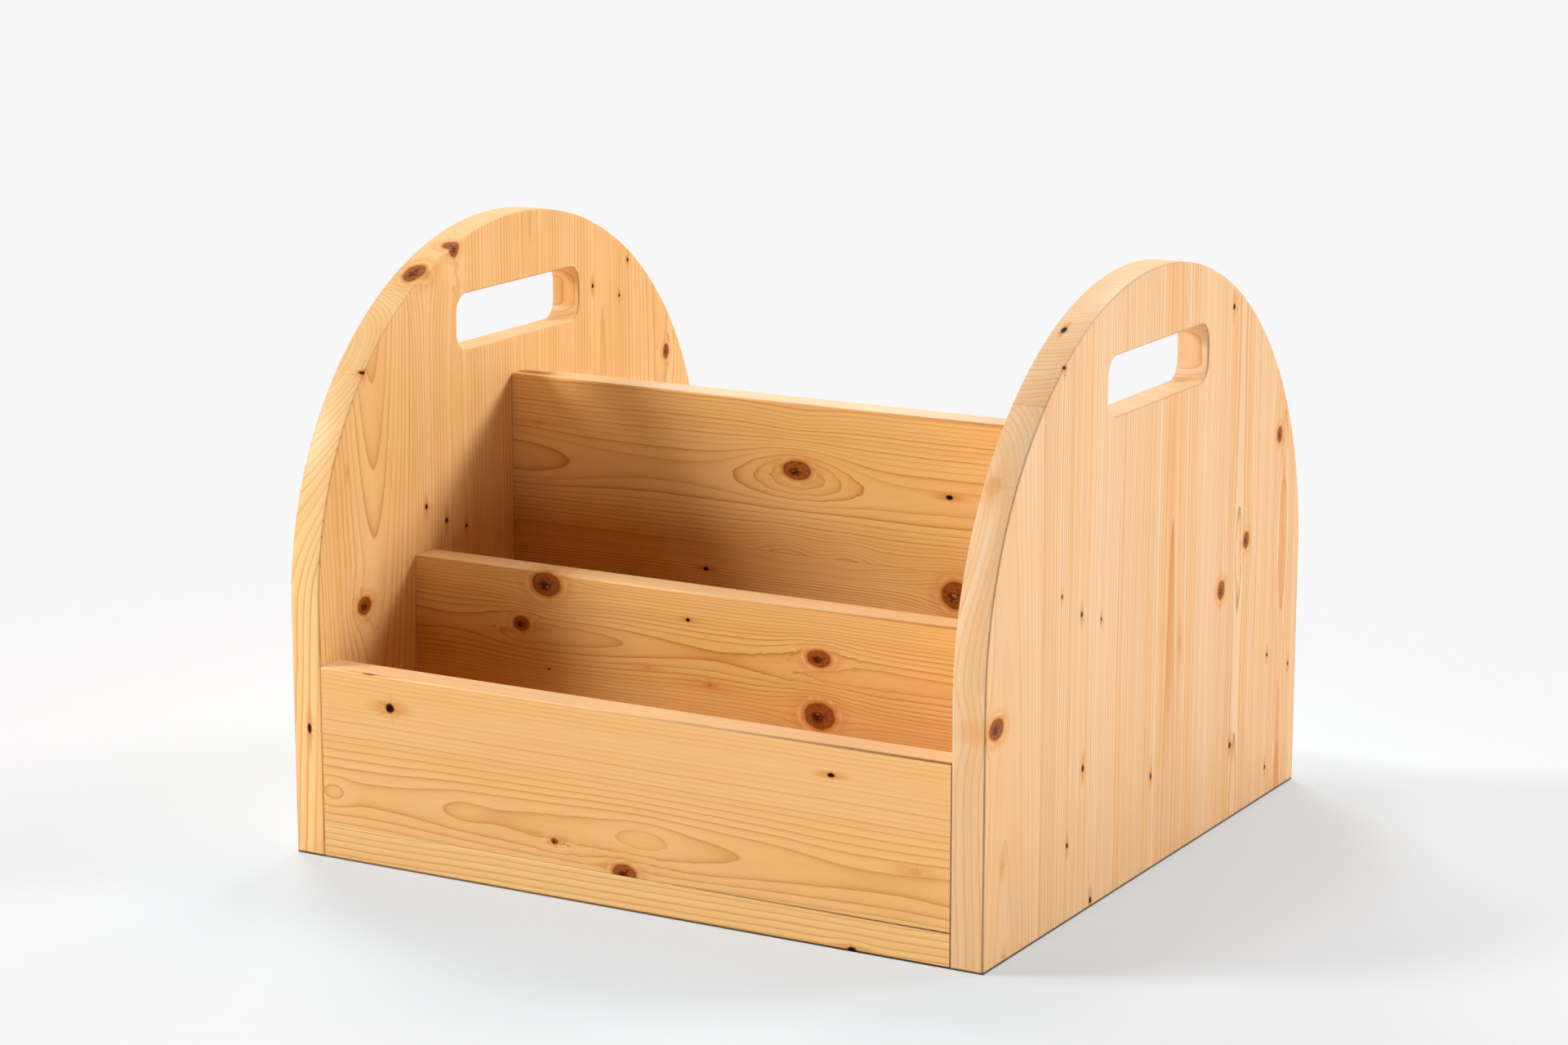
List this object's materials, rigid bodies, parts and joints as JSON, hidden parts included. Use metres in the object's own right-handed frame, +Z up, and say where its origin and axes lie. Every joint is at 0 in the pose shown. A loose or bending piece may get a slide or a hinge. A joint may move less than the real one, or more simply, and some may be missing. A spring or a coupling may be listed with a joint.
{
  "type": "picture book browser bin",
  "caption": "Pine tabletop book bin with arched side panels, routed hand slots and stepped dividers that hold picture books face out on both sides.",
  "frame": {"origin": "on the floor under the middle of the bin", "axes": "+X from the left side panel to the right one, +Y from front to back, +Z up"},
  "size_m": [0.405, 0.387, 0.318],
  "materials": {
    "pine_board": "planed knotty pine under a clear satin lacquer",
    "beech_dowel": "plain turned beech, glued in"
  },
  "bodies": {
    "root": {"left_side_panel": "pine_board", "right_side_panel": "pine_board", "base_board": "pine_board", "front_panel": "pine_board", "front_mid_divider": "pine_board", "centre_divider": "pine_board", "rear_mid_divider": "pine_board", "rear_panel": "pine_board", "base_left_dowel_1": "beech_dowel", "base_left_dowel_2": "beech_dowel", "base_left_dowel_3": "beech_dowel", "base_left_dowel_4": "beech_dowel", "base_right_dowel_1": "beech_dowel", "base_right_dowel_2": "beech_dowel", "base_right_dowel_3": "beech_dowel", "base_right_dowel_4": "beech_dowel", "front_panel_left_dowel_1": "beech_dowel", "front_panel_left_dowel_2": "beech_dowel", "front_panel_right_dowel_1": "beech_dowel", "front_panel_right_dowel_2": "beech_dowel", "front_panel_foot_dowel_1": "beech_dowel", "front_panel_foot_dowel_2": "beech_dowel", "front_panel_foot_dowel_3": "beech_dowel", "front_mid_divider_left_dowel_1": "beech_dowel", "front_mid_divider_left_dowel_2": "beech_dowel", "front_mid_divider_right_dowel_1": "beech_dowel", "front_mid_divider_right_dowel_2": "beech_dowel", "front_mid_divider_foot_dowel_1": "beech_dowel", "front_mid_divider_foot_dowel_2": "beech_dowel", "front_mid_divider_foot_dowel_3": "beech_dowel", "centre_divider_left_dowel_1": "beech_dowel", "centre_divider_left_dowel_2": "beech_dowel", "centre_divider_left_dowel_3": "beech_dowel", "centre_divider_right_dowel_1": "beech_dowel", "centre_divider_right_dowel_2": "beech_dowel", "centre_divider_right_dowel_3": "beech_dowel", "centre_divider_foot_dowel_1": "beech_dowel", "centre_divider_foot_dowel_2": "beech_dowel", "centre_divider_foot_dowel_3": "beech_dowel", "rear_mid_divider_left_dowel_1": "beech_dowel", "rear_mid_divider_left_dowel_2": "beech_dowel", "rear_mid_divider_right_dowel_1": "beech_dowel", "rear_mid_divider_right_dowel_2": "beech_dowel", "rear_mid_divider_foot_dowel_1": "beech_dowel", "rear_mid_divider_foot_dowel_2": "beech_dowel", "rear_mid_divider_foot_dowel_3": "beech_dowel", "rear_panel_left_dowel_1": "beech_dowel", "rear_panel_left_dowel_2": "beech_dowel", "rear_panel_right_dowel_1": "beech_dowel", "rear_panel_right_dowel_2": "beech_dowel", "rear_panel_foot_dowel_1": "beech_dowel", "rear_panel_foot_dowel_2": "beech_dowel", "rear_panel_foot_dowel_3": "beech_dowel"}
  },
  "joints": []
}
